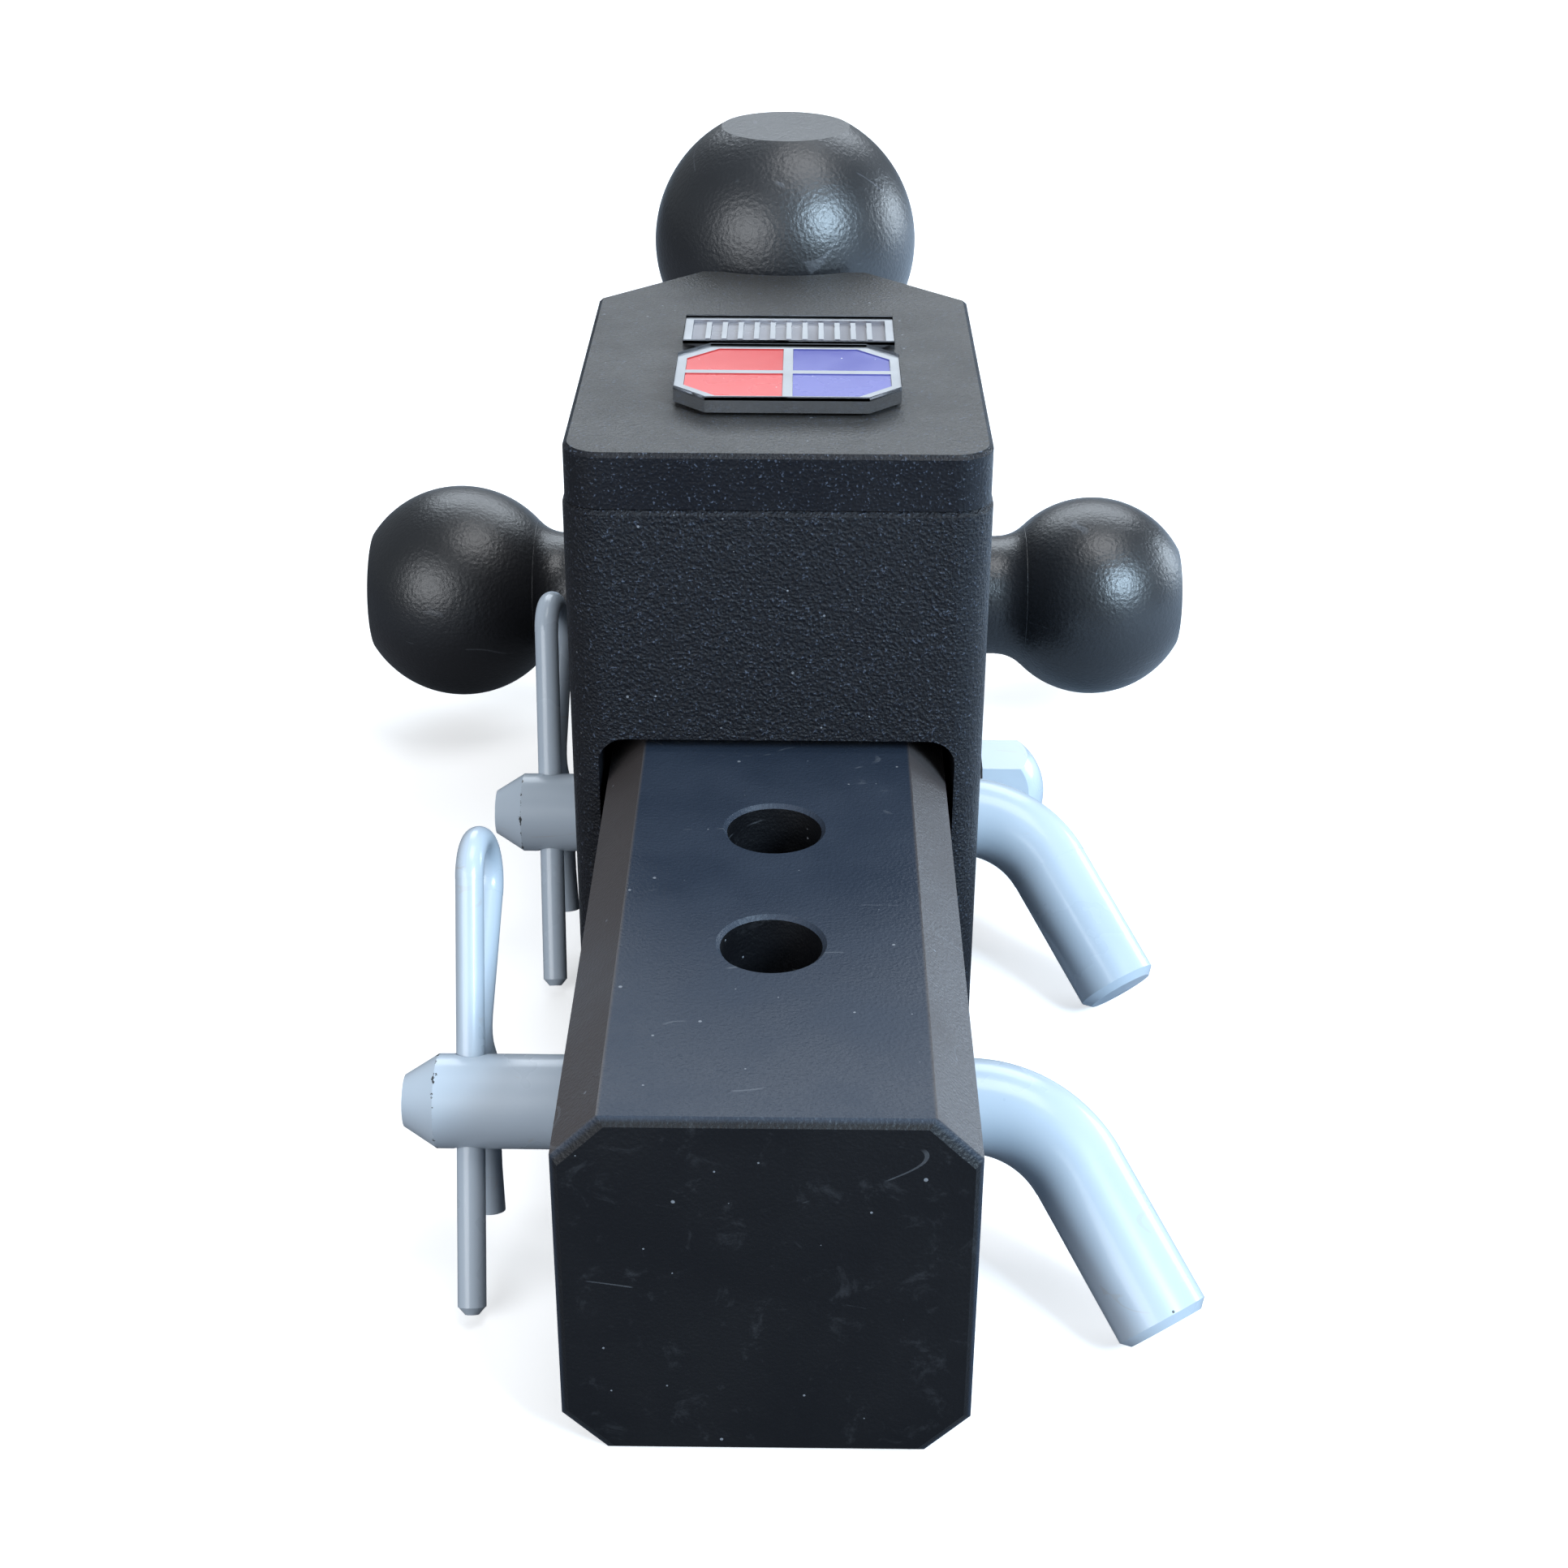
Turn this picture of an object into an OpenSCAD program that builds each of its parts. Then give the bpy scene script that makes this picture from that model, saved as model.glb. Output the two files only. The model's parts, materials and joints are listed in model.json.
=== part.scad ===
// Trailer hitch with three balls: a square drawbar pinned in a head box, and a hub
// behind the box that carries a large, a medium and a small ball.
// X runs across the hitch, +Y from the drawbar's free end to the balls, +Z up.
// The origin is the centre of the drawbar's free end, on the drawbar's own axis.

/* [Drawbar] */
// Width and height of the solid square drawbar
bar_w = 63.5; // [63:0.25:63.75]
// Length of the drawbar
bar_len = 205; // [200:1:205]
// Chamfer along the four long edges
bar_chamfer = 7; // [4:0.5:9]
// Bevel round the free end
bar_bevel = 1.2; // [0.6:0.1:2]
// Radius of the holes for the hitch pins
pin_hole_r = 8.33; // [8.1:0.01:8.6]
// Bevel on the rim of each hole
hole_bevel = 0.7; // [0.4:0.1:1.2]
// Distance from the free end to the first pair of cross holes
station_y = 48.5; // [46:0.5:51]
// Distance from the first pair of cross holes to the second
station_pitch = 38; // [36:0.5:40]

/* [Head box] */
// Width of the box
box_w = 77.4; // [77.2:0.1:78]
// Front face of the box, from the drawbar's free end
box_front_y = 115; // [113:0.5:117]
// Rear face of the box, where the hub is welded on
box_rear_y = 229; // [228.6:0.1:229.4]
// Top rim of the box above the drawbar's axis
box_top_z = 79.8; // [78:0.1:80]
// Wall thickness
box_wall = 5.5; // [5.3:0.1:5.6]
// Radius of the two upright front corners
corner_r = 7.5; // [6.5:0.5:9]
// Size of the 45 degree cut on the two rear corners
rear_chamfer = 20.7; // [19:0.1:22]
// Roof of the drawbar's channel above the drawbar's axis
channel_top_z = 34.4; // [34.2:0.1:35]
// Thickness of the plate over the channel
roof_t = 7.8; // [6:0.2:9]
// Height of the light bevel round the top rim
rim_bevel = 1; // [0.6:0.1:1.4]
// Place of the head pin, from the drawbar's free end
head_pin_y = 149; // [147:0.5:150]

/* [Cap] */
// Thickness of the cap plate
cap_t = 10.4; // [9:0.2:12]
// How far the cap stands back from the faces of the box
cap_inset = 0.4; // [0.2:0.1:0.8]
// Bevel round the top edge of the cap
cap_bevel = 0.8; // [0.4:0.1:1.2]
// Depth of the register under the cap that drops into the box
register_h = 12; // [10:0.5:14]
// Radius of the hollow in the cap's rear edge that clears the large ball
scallop_r = 32; // [31.2:0.1:32.5]
// Radius of the cap screws' threads
cap_screw_r = 3; // [2.5:0.5:3]

/* [Hub and balls] */
// Width and height of the hub
hub_w = 72; // [70:1:74]
// Length of the hub along the hitch
hub_len = 56; // [55.4:0.2:57]
// Chamfer along the hub's four long edges
hub_chamfer = 5; // [3:0.5:6]
// Diameter of the large ball, on top
large_d = 58.74; // [58.5:0.01:58.9]
// Diameter of the medium ball, at -X
medium_d = 50.8; // [50.5:0.01:51]
// Diameter of the small ball, at +X
small_d = 47.63; // [47.4:0.01:47.8]
// Centre of the large ball above the drawbar's axis
large_z = 89; // [88.5:0.1:90]
// Centre of the medium ball from the middle of the hitch
medium_x = 78.2; // [77:0.1:80]
// Centre of the small ball from the middle of the hitch
small_x = 74.8; // [74:0.1:77]
// Height of the side balls above the drawbar's axis
side_z = 2; // [0:0.5:3]
// Radius of the balls' necks
neck_r = 14.3; // [13:0.1:15]
// Radius of the blend from each neck to its ball
blend_r = 9; // [7:0.5:10]
// Radius of the stub of each neck inside the hub
stub_r = 12.7; // [11:0.1:13]

/* [Hitch pins] */
// Diameter of both hitch pins
pin_d = 15.875; // [15.6:0.005:16]
// Straight length of a pin, from its nose to its bend
pin_straight = 94.5; // [93.5:0.1:96]
// Centreline radius of the bend
bend_r = 20.8; // [19:0.2:23]
// Angle of the bend
bend_angle = 61.5; // [58:0.5:64]
// Straight length of the arm after the bend
arm_len = 28.7; // [24:0.1:29]
// Lean of both arms from straight down, towards the drawbar's free end
arm_lean = 44.5; // [44:0.5:60]
// Length of the cone on the nose
nose_len = 5.6; // [4:0.2:7]
// Radius of the nose's flat tip
nose_r = 4.4; // [4:0.1:5]
// Distance from the tip of the nose to the clip's hole
clip_from_tip = 11; // [10.6:0.1:12]

/* [Clips] */
// Diameter of the clips' wire
wire_d = 4.8; // [4.4:0.1:5]
// Lean of the clips' straight legs from upright
clip_lean = 32; // [25:1:40]
// Length of the straight leg past the pin's axis
leg_below = 34; // [32:0.1:35]
// Radius of the clip's end loop
loop_r = 6.8; // [6.5:0.1:7]
// Play of the wire in the pin's hole
clip_play = 0.8; // [0.8:0.05:1]

/* [Anti-rattle bolt] */
// Place of the bolt, from the drawbar's free end
rattle_y = 184; // [182:0.5:185]
// Height of the bolt's axis against the drawbar's axis
rattle_z = -12.75; // [-14:0.25:-11]
// Distance across the corners of the bolt's head
head_corners = 22; // [20:0.5:22]
// Radius of the bolt's thread
thread_r = 6.35; // [6:0.05:6.4]
// Radius of the shoe that presses on the drawbar
shoe_r = 8; // [7.5:0.1:8.2]

/* [Badge] */
// Width of the badge plate
badge_w = 42; // [38:0.5:44]
// Length of the badge plate
badge_len = 31; // [28:0.5:32]
// Front edge of the badge plate, from the drawbar's free end
badge_y = 135; // [134:0.5:138]
// Sideways place of the badge
badge_x = 1.5; // [-2:0.5:3]
// Thickness of the badge plate and bar
badge_t = 2.6; // [2:0.1:3]
// Width of the raised ribs of the badge
rib_w = 1.8; // [1.2:0.1:2.4]
// Number of upright ribs on the badge bar
bar_ribs = 11; // [5:1:15]

/* [Hidden] */
$fn = 96;
eps = 0.01;
// The straights of a bent rod run this far into its bends, so that they join
lap = 0.1;
// A bend is this much larger in radius than the straights that it joins
pin_bend_extra = 0.06;
wire_bend_extra = 0.03;

half_bar = bar_w / 2;
half_box = box_w / 2;
half_channel = half_box - box_wall;
base_z = -half_bar;
cap_top_z = box_top_z + cap_t;
hub_y = box_rear_y;
ball_y = hub_y + hub_len / 2;
hub_top_z = base_z + hub_w;
stub_len = 20;
stub_gap = 0.05;
// Height of each ball's flat above its centre
large_flat = 25.7;
medium_flat = 21;
small_flat = 20.6;
weld_leg = 5;
receiver_bend_x = half_bar + 1.35;
head_bend_x = half_box - 1.7;
// Each clip tilts in its hole's play and is turned about its straight leg
receiver_clip_tilt = 1.4;
head_clip_tilt = 2.4;
clip_turn = 7;
clip_nose = 1.4;
bush_r = 11;
bush_gap = 0.05;
// The scallop for the large ball is cut in the box down to this height
scallop_z = hub_top_z + 15;
cap_screw_z = box_top_z - register_h / 2;
cap_screw_y = [132, 194];
screw_head_r = 5.5;
screw_head_h = 2.6;
// Radius of the hex socket in each screw's head
socket_r = 2.3;
boss_t = 4.3;
boss_r = 14;
head_x = half_box + boss_t + 0.8;
head_len = 14.1;
// Turn of the bolt's hex head about its axis
head_turn = 7.5;
dome_r = 13.2;
nose_pin_r = 5;
shoe_x = half_bar + 0.05;
shoe_t = 4.6;
// Floor of the shoe's socket for the bolt's nose
socket_z = 1.95;
tape_t = 0.8;
badge_z = cap_top_z + tape_t;
enamel_t = 0.7;
bar_gap = 2;
badge_bar_w = 41;
badge_bar_len = 16;
badge_bar_y = badge_y + badge_len + bar_gap;
badge_corner = 6;
bar_border = 1.6;
bar_window = [badge_bar_w - 2 * bar_border, badge_bar_len - 2 * bar_border];
bar_pitch = bar_window[0] / (bar_ribs + 1);
// Depth of the badge bar's window, and the room round each of its ribs
window_depth = 1;
rib_gap = 1.2;

// Points along an arc, both ends included
function arc(cx, cy, r, a0, a1, n = 12) =
    [for (i = [0:n]) let (a = a0 + (a1 - a0) * i / n) [cx + r * cos(a), cy + r * sin(a)]];

// Plan of the box and the cap, drawn in by an equal amount all round
function head_plan(inset) =
    let (
        w = half_box - inset,
        y0 = box_front_y + inset,
        y1 = box_rear_y - inset,
        r = corner_r - inset,
        c = rear_chamfer - inset * (2 - sqrt(2))
    )
    concat(
        arc(w - r, y0 + r, r, 270, 360),
        [[w, y1 - c], [w - c, y1], [c - w, y1], [-w, y1 - c]],
        arc(r - w, y0 + r, r, 180, 270)
    );

// Square with its four corners cut off
function cut_square(w, h, c) = [
    [c - w / 2, -h / 2], [w / 2 - c, -h / 2], [w / 2, c - h / 2], [w / 2, h / 2 - c],
    [w / 2 - c, h / 2], [c - w / 2, h / 2], [-w / 2, h / 2 - c], [-w / 2, c - h / 2]
];

// Extrusion of an XZ outline along +Y
module along_y(y0, length) {
    translate([0, y0 + length, 0]) rotate([90, 0, 0]) linear_extrude(length) children();
}

// Slab with a bevelled top edge, from a plan and the same plan drawn in
module bevelled_slab(plan, small_plan, height, bevel) {
    linear_extrude(height - bevel) polygon(plan);
    hull() {
        translate([0, 0, height - bevel]) linear_extrude(eps) polygon(plan);
        translate([0, 0, height - eps]) linear_extrude(eps) polygon(small_plan);
    }
}

// Through hole along Z with a bevelled rim at both ends
module rimmed_hole(length) {
    cylinder(r = pin_hole_r, h = length + 2, center = true);
    for (end = [0, 1])
        mirror([0, 0, end]) translate([0, 0, length / 2 - hole_bevel])
            cylinder(r1 = pin_hole_r, r2 = pin_hole_r + hole_bevel + 0.1, h = hole_bevel + 0.1);
}

module drawbar() {
    end_w = bar_w - 2 * bar_bevel;
    color("#26272b") difference() {
        union() {
            along_y(bar_bevel, bar_len - bar_bevel)
                polygon(cut_square(bar_w, bar_w, bar_chamfer));
            hull() {
                along_y(0, eps) polygon(cut_square(end_w, end_w, bar_chamfer));
                along_y(bar_bevel - eps, eps) polygon(cut_square(bar_w, bar_w, bar_chamfer));
            }
        }
        for (y = [station_y, station_y + station_pitch]) {
            translate([0, y, 0]) rimmed_hole(bar_w);
            translate([0, y, 0]) rotate([0, 90, 0]) rimmed_hole(bar_w);
        }
        translate([0, head_pin_y, 0]) rotate([0, 90, 0]) rimmed_hole(bar_w);
    }
}

// Outline of the channel's mouth in the front wall
module mouth_outline() {
    r = 5;
    top = channel_top_z;
    polygon(concat(
        [[half_channel, base_z - 1]],
        arc(half_channel - r, top - r, r, 0, 90),
        arc(r - half_channel, top - r, r, 90, 180),
        [[-half_channel, base_z - 1]]
    ));
}

module head_box() {
    color("#1d1e22") difference() {
        translate([0, 0, base_z])
            bevelled_slab(head_plan(0), head_plan(rim_bevel), box_top_z - base_z, rim_bevel);
        translate([0, 0, base_z - 1])
            linear_extrude(box_top_z - base_z + 2) polygon(head_plan(box_wall));
        along_y(box_front_y - 1, box_wall + 3) mouth_outline();
        translate([0, head_pin_y, 0]) rotate([0, 90, 0])
            cylinder(r = bush_r + bush_gap, h = box_w + 2, center = true);
        translate([half_channel - 1, rattle_y, rattle_z]) rotate([0, 90, 0])
            cylinder(r = shoe_r + 0.1, h = box_wall + 2);
        translate([0, ball_y, scallop_z]) cylinder(r = scallop_r, h = 50);
        for (side = [0, 1], y = cap_screw_y)
            mirror([side, 0, 0]) translate([half_box, y, cap_screw_z]) rotate([0, -90, 0]) {
                translate([0, 0, -1]) cylinder(r = cap_screw_r + 0.3, h = box_wall + 2);
                translate([0, 0, -0.1])
                    cylinder(r1 = screw_head_r + 0.4, r2 = cap_screw_r + 0.1, h = screw_head_h + 0.4);
            }
    }
}

// Hardened rings pressed into the box's legs for the head pin
module pin_bushings() {
    color("#3b3c40") for (side = [0, 1])
        mirror([side, 0, 0]) translate([half_channel, head_pin_y, 0]) rotate([0, 90, 0])
            difference() {
                cylinder(r = bush_r, h = box_wall);
                translate([0, 0, -1]) cylinder(r = pin_hole_r, h = box_wall + 2);
            }
}

module roof_plate() {
    color("#2a2b2f") translate([0, 0, channel_top_z])
        linear_extrude(roof_t) polygon(head_plan(box_wall + 0.05));
}

module wear_pad() {
    pad = [40, 70, channel_top_z - half_bar - 0.1];
    color("#d9d3c0") translate([-pad[0] / 2, box_front_y + 10, half_bar + 0.05]) cube(pad);
}

module tail_stop() {
    stop_y = bar_len + 1;
    stop = [28, box_rear_y - box_wall - stop_y - 0.05, bar_w - 8];
    color("#2a2b2f") translate([-stop[0] / 2, stop_y, -stop[2] / 2]) cube(stop);
}

module cap_plate() {
    color("#1d1e22") difference() {
        union() {
            translate([0, 0, box_top_z + 0.05])
                bevelled_slab(head_plan(cap_inset), head_plan(cap_inset + cap_bevel),
                    cap_t - 0.05, cap_bevel);
            translate([0, 0, box_top_z - register_h])
                linear_extrude(register_h + 1) polygon(head_plan(box_wall + 0.15));
        }
        translate([0, ball_y, box_top_z - register_h - 1])
            cylinder(r = scallop_r, h = register_h + cap_t + 2);
        for (side = [0, 1], y = cap_screw_y)
            mirror([side, 0, 0]) translate([half_box + 1, y, cap_screw_z])
                rotate([0, -90, 0]) cylinder(r = cap_screw_r, h = 20);
    }
}

// Flat-headed screws through the box's sides into the cap's register
module cap_screws() {
    color("#3b3c40") for (side = [0, 1], y = cap_screw_y)
        mirror([side, 0, 0]) translate([half_box - 0.2, y, cap_screw_z]) rotate([0, -90, 0])
            difference() {
                union() {
                    cylinder(r1 = screw_head_r, r2 = cap_screw_r - 0.1, h = screw_head_h);
                    cylinder(r = cap_screw_r - 0.1, h = 18);
                }
                translate([0, 0, -1]) cylinder(r = socket_r, h = 3, $fn = 6);
            }
}

// Places a child that points along +Z at each neck, with its face on the hub
module at_large() {
    translate([0, ball_y, hub_top_z]) children();
}
module at_medium() {
    translate([-hub_w / 2, ball_y, side_z]) rotate([0, -90, 0]) children();
}
module at_small() {
    translate([hub_w / 2, ball_y, side_z]) rotate([0, 90, 0]) children();
}

module ball_hub() {
    centre_z = base_z + hub_w / 2;
    color("#1d1e22") difference() {
        translate([0, 0, centre_z]) along_y(hub_y, hub_len)
            polygon(cut_square(hub_w, hub_w, hub_chamfer));
        at_large() translate([0, 0, -stub_len - 0.5])
            cylinder(r = stub_r + stub_gap, h = stub_len + 2);
        at_medium() translate([0, 0, -stub_len - 0.5])
            cylinder(r = stub_r + stub_gap, h = stub_len + 2);
        at_small() translate([0, 0, -stub_len - 0.5])
            cylinder(r = stub_r + stub_gap, h = stub_len + 2);
    }
}

// Welds in the two grooves between the box's cut rear corners and the hub
module hub_welds() {
    groove = 10;
    weld_len = hub_w - 10;
    corner_x = half_box - rear_chamfer;
    color("#232428") for (side = [0, 1])
        mirror([side, 0, 0]) translate([corner_x, hub_y - 0.05, base_z + 4])
            linear_extrude(weld_len)
                polygon([[0.2, -0.05], [groove, -0.05], [groove * 0.8, -groove * 0.8 + 0.1]]);
}

// Ball with its neck and stub. The neck's foot is at the origin and it points along +Z.
module neck_ball(d, rise, flat_rise) {
    r = d / 2;
    drop = sqrt(pow(r + blend_r, 2) - pow(neck_r + blend_r, 2));
    touch_r = r * (neck_r + blend_r) / (r + blend_r);
    touch_z = r * drop / (r + blend_r);
    intersection() {
        translate([0, 0, rise]) sphere(r = r);
        translate([-r, -r, rise - r]) cube([d, d, r + flat_rise]);
    }
    cylinder(r = neck_r, h = rise - r / 2);
    translate([0, 0, rise - drop]) difference() {
        cylinder(r = touch_r, h = drop - touch_z + 3);
        rotate_extrude() translate([neck_r + blend_r, 0]) circle(r = blend_r - 0.05);
    }
    translate([0, 0, -stub_len]) cylinder(r = stub_r, h = stub_len);
}

module large_ball() {
    color("#222328") at_large() neck_ball(large_d, large_z - hub_top_z, large_flat);
}

module medium_ball() {
    color("#222328") at_medium() neck_ball(medium_d, medium_x - hub_w / 2, medium_flat);
}

module small_ball() {
    color("#222328") at_small() neck_ball(small_d, small_x - hub_w / 2, small_flat);
}

// Fillet weld round the foot of a neck
module neck_weld() {
    translate([0, 0, 0.05]) rotate_extrude()
        polygon([[neck_r + 0.05, 0], [neck_r + weld_leg, 0], [neck_r + 0.05, weld_leg]]);
}

module neck_welds() {
    color("#232428") {
        at_large() neck_weld();
        at_medium() neck_weld();
        at_small() neck_weld();
    }
}

// Bent hitch pin across the hitch. Its bend starts at bend_x.
module hitch_pin(bend_x, y) {
    r = pin_d / 2;
    end_cut = 1.4;
    difference() {
        translate([bend_x - pin_straight, y, 0]) rotate([0, 90, 0]) {
            cylinder(r1 = nose_r, r2 = r, h = nose_len);
            translate([0, 0, nose_len]) cylinder(r = r, h = pin_straight - nose_len + lap);
        }
        translate([bend_x - pin_straight + clip_from_tip, y, 0]) rotate([-clip_lean, 0, 0])
            cylinder(d = wire_d + clip_play, h = 2 * pin_d, center = true);
    }
    translate([bend_x, y, 0]) rotate([-arm_lean, 0, 0]) {
        translate([0, 0, -bend_r]) rotate([90, 0, 0]) rotate([0, 0, 90 - bend_angle])
            rotate_extrude(angle = bend_angle) translate([bend_r, 0]) circle(r = r + pin_bend_extra);
        translate([bend_r * sin(bend_angle), 0, bend_r * (cos(bend_angle) - 1)])
            rotate([0, 90 + bend_angle, 0]) {
                translate([0, 0, -lap]) cylinder(r = r, h = arm_len - end_cut + lap);
                translate([0, 0, arm_len - end_cut]) cylinder(r1 = r, r2 = r - end_cut, h = end_cut);
            }
    }
}

// Round wire along +X: each step is [0, length] or [radius, turn], left turns positive
module wire(steps, i = 0) {
    if (i < len(steps)) {
        radius = steps[i][0];
        amount = steps[i][1];
        if (radius == 0) {
            translate([-lap, 0, 0]) rotate([0, 90, 0]) cylinder(d = wire_d, h = amount + 2 * lap);
            translate([amount, 0, 0]) wire(steps, i + 1);
        } else {
            side = sign(amount);
            turn = abs(amount);
            mirror([0, side < 0 ? 1 : 0, 0]) translate([0, radius, 0]) rotate([0, 0, -90])
                rotate_extrude(angle = turn) translate([radius, 0])
                    circle(r = wire_d / 2 + wire_bend_extra);
            translate([radius * sin(turn), side * radius * (1 - cos(turn)), 0])
                rotate([0, 0, amount]) wire(steps, i + 1);
        }
    }
}

// Spring clip: a straight leg through the pin, an end loop, and a leg bowed round the pin.
// It tilts in the hole's play and turns about its straight leg.
module spring_clip(bend_x, y, tilt) {
    bow_gap = 0.5;
    bow_r = pin_d / 2 + wire_d / 2 + bow_gap;
    bow_start = 50;
    waist_r = 5;
    over_turn = 20;
    tail_run = 9;
    tail_r = 8;
    tail_turn = 15;
    tail_end = 8.5;
    waist_u = (bow_r + waist_r) * sin(bow_start) + waist_r * sin(-over_turn);
    waist_v = (bow_r + waist_r) * cos(bow_start) - waist_r * cos(over_turn);
    run_in = (loop_r * (1 + cos(over_turn)) - waist_v) / sin(over_turn);
    loop_u = waist_u + 2 * waist_r * sin(over_turn) + run_in * cos(over_turn)
        + loop_r * sin(over_turn);
    steps = [
        [0, leg_below + loop_u],
        [loop_r, 180 + over_turn],
        [0, run_in],
        [waist_r, -(over_turn + bow_start)],
        [0, 0.4],
        [bow_r, bow_start],
        [0, tail_run],
        [tail_r, -tail_turn],
        [0, tail_end]
    ];
    translate([bend_x - pin_straight + clip_from_tip, y, 0]) rotate([-clip_lean, 0, 0])
        rotate([0, -tilt, -clip_turn]) translate([0, 0, -leg_below]) {
            rotate([0, -90, 0]) wire(steps);
            translate([0, 0, -clip_nose]) cylinder(r1 = wire_d / 4, r2 = wire_d / 2, h = clip_nose);
        }
}

module receiver_pin() {
    color("#c9d6e2") hitch_pin(receiver_bend_x, station_y);
}

module head_pin() {
    color("#c9d6e2") hitch_pin(head_bend_x, head_pin_y);
}

module receiver_clip() {
    color("#bccad6") spring_clip(receiver_bend_x, station_y, receiver_clip_tilt);
}

module head_clip() {
    color("#bccad6") spring_clip(head_bend_x, head_pin_y, head_clip_tilt);
}

// Threaded boss on the outside of the right leg
module rattle_boss() {
    color("#1d1e22") translate([half_box + 0.02, rattle_y, rattle_z]) rotate([0, 90, 0])
        difference() {
            cylinder(r = boss_r, h = boss_t);
            translate([0, 0, -1]) cylinder(r = thread_r + 0.08, h = boss_t + 2);
        }
}

// Bolt with a tall domed hex head. Its nose turns in the shoe.
module rattle_bolt() {
    nose_x = shoe_x + 2;
    shank_x = shoe_x + shoe_t + 0.1;
    color("#c3d2e0") translate([0, rattle_y, rattle_z]) {
        translate([head_x, 0, 0]) rotate([head_turn, 0, 0]) intersection() {
            rotate([30, 0, 0]) rotate([0, 90, 0])
                cylinder(d = head_corners, h = head_len, $fn = 6);
            translate([head_len - dome_r, 0, 0]) sphere(r = dome_r);
        }
        translate([shank_x, 0, 0]) rotate([0, 90, 0])
            cylinder(r = thread_r, h = head_x - shank_x);
        translate([nose_x, 0, 0]) rotate([0, 90, 0])
            cylinder(r = nose_pin_r, h = shank_x - nose_x);
    }
}

// Swivel shoe that the bolt presses against the drawbar's side
module rattle_shoe() {
    color("#b08d4f") translate([shoe_x, rattle_y, rattle_z]) rotate([0, 90, 0])
        difference() {
            cylinder(r = shoe_r, h = shoe_t);
            translate([0, 0, socket_z]) cylinder(r = nose_pin_r + 0.05, h = shoe_t);
        }
}

// Badge plate's outline in plan: a rectangle with cut corners
module badge_outline(draw_in) {
    translate([badge_x, badge_y + badge_len / 2])
        polygon(cut_square(badge_w - 2 * draw_in, badge_len - 2 * draw_in, badge_corner));
}

// One quarter of the badge's face, between the raised border and the middle ribs
module badge_field(side, row, gap) {
    w = badge_w / 2;
    h = badge_len / 2;
    field = [w - 1.5 * rib_w, h - 1.5 * rib_w];
    intersection() {
        badge_outline(rib_w + gap);
        translate([
            badge_x + (side < 0 ? -field[0] - rib_w / 2 + gap : rib_w / 2 + gap),
            badge_y + h + (row < 0 ? -field[1] - rib_w / 2 + gap : rib_w / 2 + gap)
        ]) square([field[0] - 2 * gap, field[1] - 2 * gap]);
    }
}

module badge_plate() {
    recess_z = badge_t - enamel_t - 0.2;
    color("silver") translate([0, 0, badge_z]) difference() {
        linear_extrude(badge_t) badge_outline(0);
        for (side = [-1, 1], row = [-1, 1])
            translate([0, 0, recess_z]) linear_extrude(badge_t) badge_field(side, row, 0);
    }
}

// The two enamelled fields on one side of the badge
module enamel(side) {
    for (row = [-1, 1])
        translate([0, 0, badge_z + badge_t - enamel_t - 0.2])
            linear_extrude(enamel_t) badge_field(side, row, 0.05);
}

module badge_red() {
    color("#c8202f") enamel(-1);
}

module badge_blue() {
    color("#1d2f86") enamel(1);
}

module badge_bar() {
    rib = [1, bar_window[1] - 2 * rib_gap, 0.9];
    color("silver") translate([badge_x - badge_bar_w / 2, badge_bar_y, badge_z]) {
        difference() {
            cube([badge_bar_w, badge_bar_len, badge_t]);
            translate([bar_border, bar_border, badge_t - window_depth])
                cube([bar_window[0], bar_window[1], badge_t]);
        }
        for (i = [1:bar_ribs])
            translate([
                bar_border + i * bar_pitch - rib[0] / 2,
                bar_border + rib_gap, badge_t - window_depth
            ]) cube(rib);
    }
}

// Thin coloured panel on the floor of the badge bar, with a slot for each rib
module badge_bar_panel() {
    gap = 0.05;
    slot = [1 + 2 * gap, bar_window[1] - 2 * (rib_gap - gap), 2];
    color("#8f9298")
        translate([badge_x - badge_bar_w / 2, badge_bar_y, badge_z + badge_t - window_depth + eps])
            difference() {
                translate([bar_border + gap, bar_border + gap, 0])
                    cube([bar_window[0] - 2 * gap, bar_window[1] - 2 * gap, 0.35]);
                for (i = [1:bar_ribs])
                    translate([
                        bar_border + i * bar_pitch - slot[0] / 2,
                        bar_border + rib_gap - gap, -1
                    ]) cube(slot);
            }
}

// Foam tape under the badge plate and the badge bar
module badge_tape() {
    color("#303030") translate([0, 0, cap_top_z + 0.02]) {
        linear_extrude(tape_t - 0.04) badge_outline(2);
        translate([badge_x - badge_bar_w / 2 + 2, badge_bar_y + 2, 0])
            cube([badge_bar_w - 4, badge_bar_len - 4, tape_t - 0.04]);
    }
}

drawbar();
head_box();
pin_bushings();
roof_plate();
wear_pad();
tail_stop();
cap_plate();
cap_screws();
ball_hub();
hub_welds();
large_ball();
medium_ball();
small_ball();
neck_welds();
receiver_pin();
receiver_clip();
head_pin();
head_clip();
rattle_boss();
rattle_bolt();
rattle_shoe();
badge_plate();
badge_red();
badge_blue();
badge_bar();
badge_bar_panel();
badge_tape();
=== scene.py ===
import bpy
import bmesh
import json
import math
from mathutils import Matrix, Vector


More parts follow.
